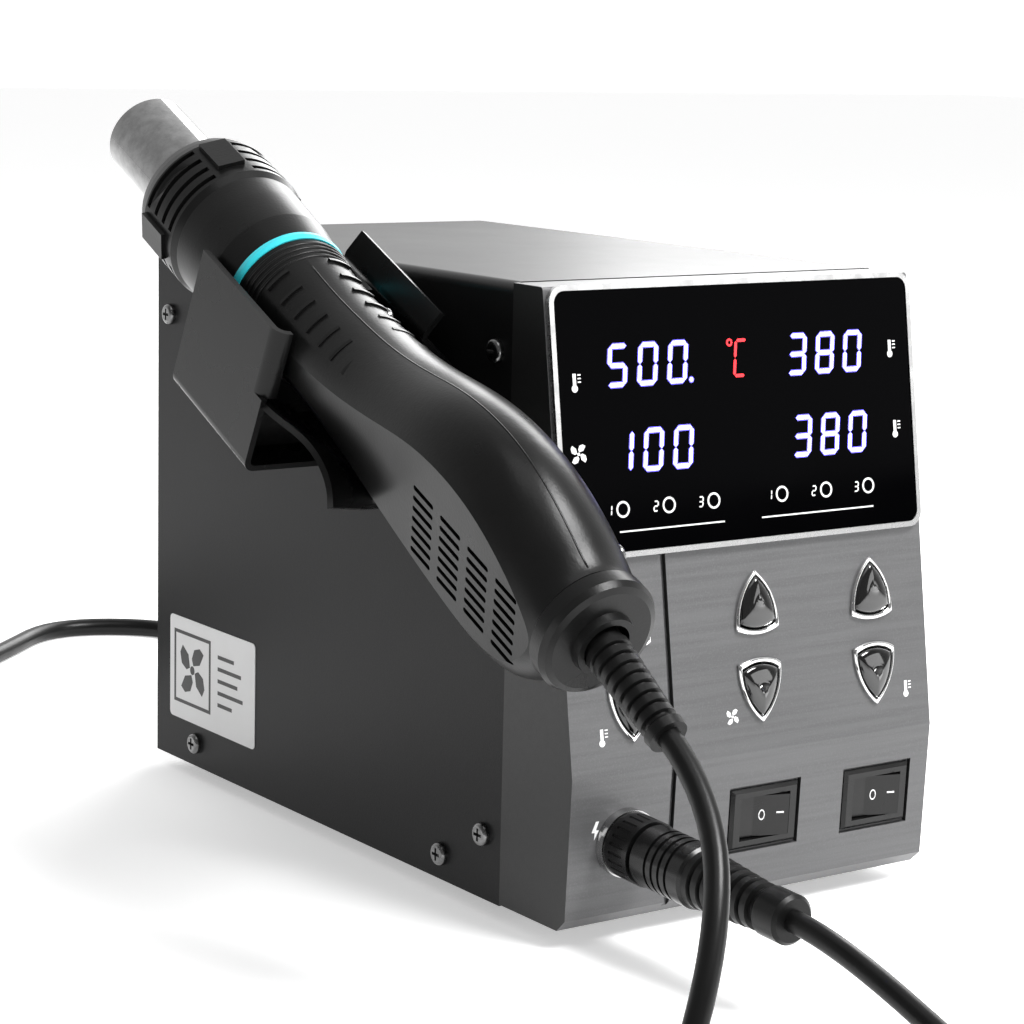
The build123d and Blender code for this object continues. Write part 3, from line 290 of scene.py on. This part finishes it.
mat = {
    "powder_coat": powder_coat(),
    "front_plastic": brushed_plastic(),
    "foot_rubber": plastic("foot_rubber", grey(0.02), grey(0.012), (0.7, 0.85)),
    "screw_steel": metal("screw_steel", grey(0.26), (0.18, 0.3), dark=grey(0.14)),
    "silver_trim": metal("silver_trim", grey(0.5), (0.22, 0.32), dark=grey(0.4)),
    "window": gloss("window", (0.0006, 0.0006, 0.0008, 1), 0.05, 0.0, 0.01),
    "circuit_board": board_material(),
    "digit_plastic": gloss("digit_plastic", grey(0.02), 0.3),
    "lamp_lens": gloss("lamp_lens", grey(0.7), 0.1),
    "button_chrome": metal("button_chrome", grey(0.9), (0.04, 0.09), dark=grey(0.8)),
    "button_black": gloss("button_black", (0.002, 0.002, 0.002, 1), 0.05, 0.8),
    "switch_black": plastic("switch_black", grey(0.006), grey(0.003), (0.2, 0.3), 0.1, 900, 0.35),
    "socket_nickel": metal("socket_nickel", grey(0.55), (0.15, 0.3), dark=grey(0.4)),
    "plug_black": plastic("plug_black", grey(0.005), grey(0.003), (0.2, 0.3), 0.1, 900, 0.35),
    "soft_black": plastic("soft_black", grey(0.006), grey(0.003), (0.3, 0.4), 0.15, 1800, 0.22),
    "tube_steel": metal("tube_steel", grey(0.36), (0.05, 0.1), dark=grey(0.24), bump=0.01),
    "gun_black": plastic("gun_black", grey(0.007), grey(0.004), (0.27, 0.34), 0.22, 1500, 0.22),
    "band_cyan": plastic("band_cyan", (0.03, 0.58, 0.66, 1), (0.025, 0.5, 0.58, 1), (0.35, 0.45)),
    "ceramic": plastic("ceramic", (0.62, 0.58, 0.5, 1), (0.5, 0.45, 0.38, 1), (0.7, 0.9)),
    "heater_alloy": metal("heater_alloy", (0.25, 0.2, 0.18, 1), (0.4, 0.6), dark=(0.12, 0.1, 0.12, 1)),
    "motor_steel": metal("motor_steel", grey(0.5), (0.25, 0.4), dark=grey(0.35)),
    "fan_plastic": plastic("fan_plastic", grey(0.02), grey(0.012), (0.45, 0.6)),
    "sticker_film": plastic("sticker_film", grey(0.72), grey(0.66), (0.35, 0.45), 0.05),
    "brass_post": metal("brass_post", (0.7, 0.5, 0.2, 1), (0.2, 0.35), dark=(0.5, 0.35, 0.12, 1)),
    "core_iron": plastic("core_iron", grey(0.08), grey(0.05), (0.4, 0.6), 0.4, 500),
    "winding": plastic("winding", (0.55, 0.4, 0.06, 1), (0.45, 0.32, 0.05, 1), (0.25, 0.35)),
    "heat_sink_alu": metal("heat_sink_alu", grey(0.55), (0.3, 0.45), dark=grey(0.42)),
    "capacitor_can": plastic("capacitor_can", (0.03, 0.04, 0.08, 1), (0.02, 0.03, 0.06, 1), (0.2, 0.3)),
}
slot_of = {s["node"]: s["material_slot"] for s in frame["record"]["subparts"]}


def dress(obj, material):
    """Give an object one material on all of its slots."""
    if not obj.material_slots:
        obj.data.materials.append(material)
    for s in obj.material_slots:
        s.material = material


for name, obj in frame["nodes"].items():
    dress(obj, mat[slot_of[name]])
# The cradle gets a darker, glossier black than the case's powder coat.
dress(frame["nodes"]["cradle"],
      plastic("cradle_dark_gloss", grey(0.006), grey(0.004), (0.24, 0.3), 0.12, 1600, 0.2))


# ---------------------------------------------------------------- cords
def nurbs(name, points, diameter, material):
    """One smooth cord through control points given in mm."""
    curve = bpy.data.curves.new(name, "CURVE")
    curve.dimensions = "3D"
    curve.bevel_depth = diameter / 2 * MM
    curve.bevel_resolution = 6
    curve.resolution_u = 8
    curve.use_fill_caps = True
    spline = curve.splines.new("NURBS")
    spline.points.add(len(points) - 1)
    for point, place in zip(spline.points, points):
        point.co = (*(Vector(place) * MM), 1)
    spline.order_u = 3
    spline.use_endpoint_u = True
    obj = bpy.data.objects.new(name, curve)
    bpy.context.scene.collection.objects.link(obj)
    dress(obj, material)
    return obj


def centreline(obj):
    """Points along a curve object, in metres."""
    plain = obj.copy()
    plain.data = obj.data.copy()
    plain.data.bevel_depth = 0
    mesh = bpy.data.meshes.new_from_object(plain)
    points = [v.co.copy() for v in mesh.vertices]
    bpy.data.objects.remove(plain)
    bpy.data.meshes.remove(mesh)
    return points


def hank(centre, middle_r, diameter, start, turns, layers_z, per_turn=16):
    """A flat two-layer coil: spirals in on the bench, steps up and spirals out on top.
    start is in degrees and turns is signed, positive anticlockwise from above."""
    steps = int(abs(turns) * per_turn)
    span = (abs(turns) / 2) * diameter * 1.03
    points = []
    for i in range(steps + 1):
        part = i / steps
        inward = 1 - abs(2 * part - 1)
        radius = middle_r + span / 2 - span * inward
        lift = min(max((part * abs(turns) - abs(turns) / 2) * 5 + 0.5, 0), 1)
        lift = lift * lift * (3 - 2 * lift)
        angle = radians(start + 360 * turns * part)
        points.append((
            centre[0] + radius * cos(angle),
            centre[1] + radius * sin(angle),
            layers_z[0] + (layers_z[1] - layers_z[0]) * lift,
        ))
    return points


LEAD_D, MAINS_D = 5.2, 5.8
LEAD_COIL_R, MAINS_COIL_R = 29.0, 32.0
RELIEF_L, RELIEF_ROOT, RELIEF_SAG = 31.0, 216.0, radians(7.0)
PLUG_BOOT_AT, GLAND_L, BOOT_END = 19.0, 36.0, 61.0
lead_floor = LEAD_D / 2 - BASE_Z
mains_floor = MAINS_D / 2 - BASE_Z
relief_lean = PITCH + RELIEF_SAG
relief = Place(gun_tip + gun_axis * RELIEF_ROOT, (1, 0, 0), (0, -cos(relief_lean), -sin(relief_lean)))
socket = Place(toe.at(-40.0, -16.7), (1, 0, 0), toe.z)
lead_centre = bench(-88, -176, 0)
lead_in, lead_out = 180.0, -62.0
lead_points = [
    relief.at(z=RELIEF_L),
    relief.at(z=RELIEF_L + 18.0),
    bench(-101.5, -137, 36),
    bench(-118, -140, lead_floor),
]
lead_points += hank(lead_centre, LEAD_COIL_R, LEAD_D, lead_in, (lead_out + 5 * 360 - lead_in) / 360,
                    (LEAD_D / 2, LEAD_D * 1.5))
lead_points += [
    bench(-36, -193, lead_floor),
    bench(-37, -153, lead_floor),
    socket.at(z=BOOT_END + 15.0),
    socket.at(z=BOOT_END),
]
lead = nurbs("gun_lead", lead_points, LEAD_D, mat["soft_black"])
lead_path = centreline(lead)

mains_centre = bench(-91.8, 325.1, 0)
mains_in, mains_out = -52.8, -135.0
plug_place = Place(
    (mains_centre.x - 41.1 * cos(pi / 4), mains_centre.y - 41.1 * sin(pi / 4), 10.0),
    (1, 1, 0), (-1, 1, 0),
)
gland = Place((BODY_X - 4.0, FRONT_Y + COVER_D, BASE_Z + 33.0), (-1, 0, 0), (0, 1, 0))
mains_points = [
    gland.at(z=GLAND_L),
    gland.at(z=GLAND_L + 30.0),
    bench(12, 272, mains_floor),
    bench(34, 316, mains_floor),
    bench(-6, 344, mains_floor),
    bench(-40, 313, mains_floor),
]
mains_points += hank(mains_centre, MAINS_COIL_R, MAINS_D, mains_in, (mains_out - 6 * 360 - mains_in) / 360,
                     (MAINS_D / 2, MAINS_D * 1.5), 14)
mains_points += [plug_place.at(z=10.0), plug_place.at(z=PLUG_BOOT_AT)]
mains = nurbs("mains_cord_line", mains_points, MAINS_D, mat["soft_black"])

lead_mesh = bpy.data.meshes.new_from_object(lead)
bpy.data.objects.remove(lead)
lead_tube = bpy.data.objects.new("gun_lead", lead_mesh)
bpy.context.scene.collection.objects.link(lead_tube)
for polygon in lead_mesh.polygons:
    polygon.use_smooth = True
dress(lead_tube, mat["soft_black"])
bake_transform(lead_tube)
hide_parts("gun_lead_upper", "gun_lead_lower", "gun_lead_coil")

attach(mains, "station")
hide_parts("mains_cord", "mains_coil")

# ---------------------------------------------------------------- printed, lit and shaped details
def prism(mesh, place, outline, low, high):
    """A flat plate with this outline in mm, anticlockwise, standing between two heights."""
    bottom = [mesh.verts.new(place.at(x, y, low) * MM) for x, y in outline]
    top = [mesh.verts.new(place.at(x, y, high) * MM) for x, y in outline]
    mesh.faces.new(list(reversed(bottom)))
    mesh.faces.new(top)
    for i in range(len(outline)):
        j = (i + 1) % len(outline)
        mesh.faces.new((bottom[i], bottom[j], top[j], top[i]))


def skin(mesh, rings, closed=False, smooth=True):
    """Bridge rings of points (in metres) that all have the same number of points."""
    rows = [[mesh.verts.new(p) for p in ring] for ring in rings]
    pairs = list(zip(rows, rows[1:])) + ([(rows[-1], rows[0])] if closed else [])
    for a, b in pairs:
        for i in range(len(a)):
            j = (i + 1) % len(a)
            mesh.faces.new((a[i], a[j], b[j], b[i])).smooth = smooth
    if not closed:
        mesh.faces.new(list(reversed(rows[0]))).smooth = smooth
        mesh.faces.new(rows[-1]).smooth = smooth


def hoop(mesh, place, x, y, outer, inner, low, high, steps=40, squeeze=1.0):
    def ring(radius, z):
        angles = [2 * pi * i / steps for i in range(steps)]
        return [place.at(x + radius * squeeze * cos(a), y + radius * sin(a), z) * MM for a in angles]

    rings = [ring(outer, low), ring(outer, high), ring(inner, high), ring(inner, low)]
    skin(mesh, rings, closed=True, smooth=False)


def piece(name, mesh, material, body="station"):
    """Turn a bmesh into a named piece that rides a body."""
    bmesh.ops.recalc_face_normals(mesh, faces=mesh.faces)
    data = bpy.data.meshes.new(name)
    mesh.to_mesh(data)
    mesh.free()
    obj = bpy.data.objects.new(name, data)
    bpy.context.scene.collection.objects.link(obj)
    dress(obj, material)
    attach(obj, body)
    return obj


def rectangle(x, y, w, h):
    return [
        (x - w / 2, y - h / 2), (x + w / 2, y - h / 2),
        (x + w / 2, y + h / 2), (x - w / 2, y + h / 2),
    ]


def disc(x, y, r, steps=24):
    return [(x + r * cos(2 * pi * i / steps), y + r * sin(2 * pi * i / steps)) for i in range(steps)]


# seven-segment figures
LIT = {"0": "abcdef", "1": "bc", "2": "abdeg", "3": "abcdg", "5": "acdfg", "8": "abcdefg",
       "C": "adef"}


def segment(letter, w, h, t, grow=0.0):
    """One bar of a figure that fills w by h, as a six-sided outline."""
    gap = t * 0.16 - grow
    half = t / 2 + grow
    if letter in "adg":
        y = {"a": h - t / 2, "g": h / 2, "d": t / 2}[letter]
        a, b = t / 2 + gap, w - t / 2 - gap
        return [(a, y), (a + half, y - half), (b - half, y - half), (b, y), (b - half, y + half),
                (a + half, y + half)]
    x = t / 2 if letter in "ef" else w - t / 2
    a, b = (t / 2 + gap, h / 2 - gap) if letter in "ce" else (h / 2 + gap, h - t / 2 - gap)
    return [(x, a), (x + half, a + half), (x + half, b - half), (x, b), (x - half, b - half),
            (x - half, a + half)]


def figures(mesh, text, x, y, pitch, w, h, t, low, high, grow=0.0, lean=0.12):
    for index, figure in enumerate(text):
        for letter in LIT[figure]:
            outline = segment(letter, w, h, t, grow)
            prism(mesh, panel, [(x + index * pitch + a + b * lean, y + b) for a, b in outline], low, high)


GLASS = 1.2
readings = (("500", -40.3, 89.8), ("380", 14.4, 89.9), ("100", -40.0, 69.8), ("380", 14.7, 70.0))
for layer, grow, low, high in (("halo", 0.28, GLASS, GLASS + 0.03), ("core", 0.0, GLASS, GLASS + 0.07)):
    lit = bmesh.new()
    for text, x, v in readings:
        figures(lit, text, x, v, 8.9, 5.6, 9.9, 0.95, low, high, grow)
    prism(lit, panel, disc(-15.3, 90.4, 0.5 + grow), low, high)
    colour = (0.12, 0.10, 0.85) if layer == "halo" else (0.80, 0.82, 1.0)
    piece(f"figures_{layer}", lit, glow(f"figure_{layer}", colour, 0.9 if layer == "halo" else 1.25))

red = bmesh.new()
figures(red, "C", -2.6, 90.2, 8.0, 4.0, 9.2, 0.8, GLASS, GLASS + 0.07)
hoop(red, panel, -3.2, 98.6, 0.95, 0.45, GLASS, GLASS + 0.07, steps=24)
piece("degree_sign", red, glow("figure_red", (0.9, 0.02, 0.03), 0.9))

white_print = plastic("white_print", grey(0.85), grey(0.8), (0.4, 0.5), 0.03)
window_print = bmesh.new()
for index, x in enumerate((-37.7, -24.1, -10.6, 10.6, 24.7, 38.5)):
    hoop(window_print, panel, x, 61.4, 1.95, 1.45, GLASS, GLASS + 0.05)
    figures(window_print, "123"[index % 3], x - 4.8, 60.1, 1, 1.5, 2.6, 0.34, GLASS, GLASS + 0.05)
for low_x, high_x in ((-39.0, -7.6), (3.9, 39.8)):
    prism(window_print, panel, rectangle((low_x + high_x) / 2, 56.2, high_x - low_x, 0.35), GLASS,
          GLASS + 0.05)


def thermometer(mesh, place, x, y, size, low, high):
    """A small thermometer mark: bulb, stem and three ticks."""
    prism(mesh, place, disc(x, y - size * 0.32, size * 0.19), low, high)
    prism(mesh, place, rectangle(x, y + size * 0.12, size * 0.20, size * 0.62), low, high + 0.005)
    for tick in (0.0, 0.18, 0.36):
        prism(mesh, place, rectangle(x + size * 0.30, y + size * tick, size * 0.2, size * 0.07), low, high)


def fan_mark(mesh, place, x, y, size, low, high):
    """A small four-bladed fan mark."""
    blade = [(0.04, 0.10), (0.30, 0.16), (0.46, 0.40), (0.30, 0.50), (0.08, 0.44), (-0.02, 0.24)]
    for quarter in range(4):
        turn = quarter * pi / 2
        outline = [
            (x + size * (a * cos(turn) - b * sin(turn)), y + size * (a * sin(turn) + b * cos(turn)))
            for a, b in blade
        ]
        prism(mesh, place, outline, low, high)
    prism(mesh, place, disc(x, y, size * 0.09), low, high + 0.004)


thermometer(window_print, panel, -49.5, 91.5, 4.6, GLASS, GLASS + 0.05)
thermometer(window_print, panel, 48.0, 95.0, 4.6, GLASS, GLASS + 0.05)
thermometer(window_print, panel, 48.4, 75.0, 4.6, GLASS, GLASS + 0.05)
fan_mark(window_print, panel, -49.5, 75.0, 4.4, GLASS, GLASS + 0.05)
piece("window_print", window_print, white_print)

panel_print = bmesh.new()
thermometer(panel_print, panel, -46.8, 9.1, 4.4, 0, 0.04)
thermometer(panel_print, panel, 48.4, 9.8, 4.4, 0, 0.04)
fan_mark(panel_print, panel, -7.7, 9.2, 3.6, 0, 0.04)
bolt = [(-0.2, -2.3), (1.1, 0.0), (0.2, 0.1), (1.0, 2.2), (0.1, 2.2), (-1.0, -0.4), (-0.1, -0.5)]
prism(panel_print, toe, [(-48.6 + a, -12.9 + b) for a, b in bolt], 0, 0.04)
piece("panel_print", panel_print, white_print)

# marks on the two rockers, on the wide face right of the crease
tilt = radians(12.0)
for x, body in ((2.8, "gun_rocker"), (39.0, "iron_rocker")):
    face = Place(
        toe.at(x, -16.7, -2.0),
        toe.x * cos(tilt) + toe.z * sin(tilt),
        toe.z * cos(tilt) - toe.x * sin(tilt),
    )
    face = Place(face.at(-2.4, 0, 1.5), face.x * 9.5 + face.z * 0.7, face.z * 9.5 - face.x * 0.7)
    marks = bmesh.new()
    hoop(marks, face, 2.3, 0.2, 1.35, 1.0, -0.02, 0.05, squeeze=0.62)
    prism(marks, face, rectangle(7.2, 0.6, 2.0, 0.42), -0.02, 0.05)
    piece(f"{body}_marks", marks, white_print, body)

# the sticker's print: a plain frame with a fan mark, and short bars for lines of words
sticker_face = Place((LEFT - 0.2, FRONT_Y + 165.0, BASE_Z + 12.0), (0, -1, 0), (-1, 0, 0))
ink = plastic("sticker_ink", grey(0.03), grey(0.02), (0.4, 0.5), 0.03)
sticker_print = bmesh.new()
for x, y, w, h in ((13, 25.2, 21, 1.0), (13, 5.2, 21, 1.0), (3.0, 15.2, 1.0, 19.0), (23.0, 15.2, 1.0, 19.0)):
    prism(sticker_print, sticker_face, rectangle(x, y, w, h), 0, 0.03)
fan_mark(sticker_print, sticker_face, 13.0, 15.2, 14.0, 0, 0.03)
for row, w in enumerate((9.0, 13.0, 11.0, 14.0, 8.0)):
    prism(sticker_print, sticker_face, rectangle(27.5 + w / 2, 22.0 - row * 3.4, w, 1.1), 0, 0.03)
piece("sticker_print", sticker_print, ink)


# ---------------------------------------------------------------- rounded rims and domed buttons
def arc(a, b, c, steps):
    """Points on the circle through three points, from a up to but not including c."""
    ax, ay, bx, by, cx, cy = *a, *b, *c
    d = 2 * (ax * (by - cy) + bx * (cy - ay) + cx * (ay - by))
    ux = ((ax**2 + ay**2) * (by - cy) + (bx**2 + by**2) * (cy - ay) + (cx**2 + cy**2) * (ay - by)) / d
    uy = ((ax**2 + ay**2) * (cx - bx) + (bx**2 + by**2) * (ax - cx) + (cx**2 + cy**2) * (bx - ax)) / d
    radius = hypot(ax - ux, ay - uy)
    start, end = atan2(ay - uy, ax - ux), atan2(cy - uy, cx - ux)
    sweep = (end - start + pi) % (2 * pi) - pi
    angles = [start + sweep * i / steps for i in range(steps)]
    return [(ux + radius * cos(t), uy + radius * sin(t)) for t in angles]


def shield(w, h, up):
    """The pointed-arch outline of a button, anticlockwise from above."""
    tip, low, base, bulge = (0, h / 2), -h / 2 + 1.4, -h / 2, h * 0.13
    points = arc(tip, (-w * 0.36, bulge), (-w / 2, low), 14)
    points += arc((-w / 2, low), (0, base), (w / 2, low), 12)
    points += arc((w / 2, low), (w * 0.36, bulge), tip, 14)
    return points if up else [(-a, -b) for a, b in points]


BUTTON_W, BUTTON_H, RIM_T = 13.2, 15.8, 1.05
hole_w, hole_h = BUTTON_W - 2 * RIM_T, BUTTON_H - 2.6 * RIM_T
rims = bmesh.new()
rim_profile = ((0.0, 0.0), (0.02, 0.55), (0.14, 0.85), (0.34, 1.02), (0.52, 1.06), (0.72, 0.98),
               (0.90, 0.72), (1.0, 0.3), (1.0, 0.0))
for name, x in (("gun_temp", -38.0), ("air_flow", 1.2), ("iron_temp", 38.0)):
    for direction, v, up in (("up", 36.0, True), ("down", 14.8, False)):
        rings = []
        for inward, height in rim_profile:
            w, h = BUTTON_W - 2 * RIM_T * inward, BUTTON_H - 2.6 * RIM_T * inward
            rings.append([panel.at(x + a, v + b, height) * MM for a, b in shield(w, h, up)])
        skin(rims, rings, closed=True)
        cap = bmesh.new()
        rings = []
        for shrink, height in ((1.0, -4.2), (1.0, 0.55), (0.97, 0.95), (0.90, 1.25), (0.78, 1.50),
                               (0.60, 1.72), (0.38, 1.88), (0.16, 1.95)):
            outline = shield((hole_w - 0.5) * shrink, (hole_h - 0.6) * shrink, up)
            rings.append([panel.at(x + a, v + b, height) * MM for a, b in outline])
        skin(cap, rings)
        button = f"{name}_{direction}"
        dome = piece(f"{button}_dome", cap, mat["button_black"], button)
        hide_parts(f"{button}_button")
rim_piece = piece("rounded_rims", rims, mat["button_chrome"])
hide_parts("button_rims")

# ---------------------------------------------------------------- mould marks on the gun
trees = [BVHTree.FromObject(frame["nodes"][n], bpy.context.evaluated_depsgraph_get())
         for n in ("gun_shell_outer", "gun_shell_inner")]


def gun_surface(along, angle):
    """How far out the gun's skin is at a station and an angle about its axis, in mm."""
    outward = gun.x * cos(angle) + gun.y * sin(angle)
    start = (gun.at(z=along) + outward * 60.0) * MM
    reach = [t.ray_cast(start, -outward, 0.06) for t in trees]
    reach = [60.0 - r[3] / MM for r in reach if r[3] is not None]
    return max(reach) if reach else 14.0


threads = bmesh.new()
for along in (81.4, 83.1, 84.8, 86.5):
    radius = gun_surface(along, radians(100))
    rings = []
    for step, height in ((-0.5, -0.3), (-0.32, 0.16), (0.0, 0.36), (0.32, 0.16), (0.5, -0.3)):
        turn = [2 * pi * i / 72 for i in range(72)]
        rings.append([gun.at((radius + height) * cos(a), (radius + height) * sin(a), along + step) * MM
                      for a in turn])
    skin(threads, rings, closed=True)
piece("gun_thread_rings", threads, mat["gun_black"], "gun")

flash = bmesh.new()
rings = []
for i in range(62):
    along = 90.0 + i * 2.0
    height = gun_surface(along, radians(90) + 0.012)
    rings.append([gun.at(a, height + b, along) * MM for a, b in
                  ((-0.28, -0.3), (-0.24, 0.02), (-0.09, 0.11), (0.09, 0.11), (0.24, 0.02), (0.28, -0.3))])
skin(flash, rings)
piece("gun_parting_line", flash, mat["gun_black"], "gun")

# ---------------------------------------------------------------- studio
def stage_plane(name, size, place, material):
    mesh = bpy.data.meshes.new(name)
    s = size / 2
    mesh.from_pydata([(-s, -s, 0), (s, -s, 0), (s, s, 0), (-s, s, 0)], [], [(0, 1, 2, 3)])
    obj = bpy.data.objects.new(name, mesh)
    obj.location = place
    bpy.context.scene.collection.objects.link(obj)
    dress(obj, material)
    return obj


floor_material = Nodes("floor")
floor_material.set(Base_Color=grey(0.92), Roughness=0.7)
floor_material.shader.inputs["Emission Color"].default_value = grey(1.0)
floor_material.shader.inputs["Emission Strength"].default_value = 0.42
stage_plane("floor", 14, (0, 0, 0), floor_material.material)


def soft_light(name, place, target, size, power, size_y):
    light = bpy.data.lights.new(name, "AREA")
    light.shape = "RECTANGLE"
    light.size = size
    light.size_y = size_y
    light.energy = power
    obj = bpy.data.objects.new(name, light)
    obj.location = place
    direction = Vector(target) - Vector(place)
    obj.rotation_euler = direction.to_track_quat("-Z", "Y").to_euler()
    bpy.context.scene.collection.objects.link(obj)
    return obj


world = bpy.data.worlds.new("studio")
world.use_nodes = True
sky = world.node_tree
direction = sky.nodes.new("ShaderNodeTexCoord").outputs["Generated"]
towards_back = sky.nodes.new("ShaderNodeVectorMath")
towards_back.operation = "DOT_PRODUCT"
sky.links.new(direction, towards_back.inputs[0])
towards_back.inputs[1].default_value = (0.57, 0.82, 0.0)
wall = sky.nodes.new("ShaderNodeMapRange")
sky.links.new(towards_back.outputs["Value"], wall.inputs["Value"])
for socket_name, value in (("From Min", -0.1), ("From Max", 0.7), ("To Min", 0.24), ("To Max", 1.15)):
    wall.inputs[socket_name].default_value = value
sky.links.new(wall.outputs[0], sky.nodes["Background"].inputs["Strength"])
sky.nodes["Background"].inputs["Color"].default_value = (1, 1, 1, 1)
bpy.context.scene.world = world
soft_light("key", (-0.4, -0.5, 1.8), (0, 0, 0.08), 0.9, 4, size_y=0.9)
soft_light("fill", (0.95, -1.30, 0.45), (0, 0, 0.08), 0.7, 3, size_y=0.5)
soft_light("back", (1.1, 0.85, 0.8), (0, 0, 0.1), 0.8, 13, size_y=0.8)
soft_light("top_front", (0.38, -0.80, 1.25), (-0.06, -0.1, 0.12), 0.6, 30, size_y=0.45)
bpy.context.scene.view_settings.view_transform = "Standard"
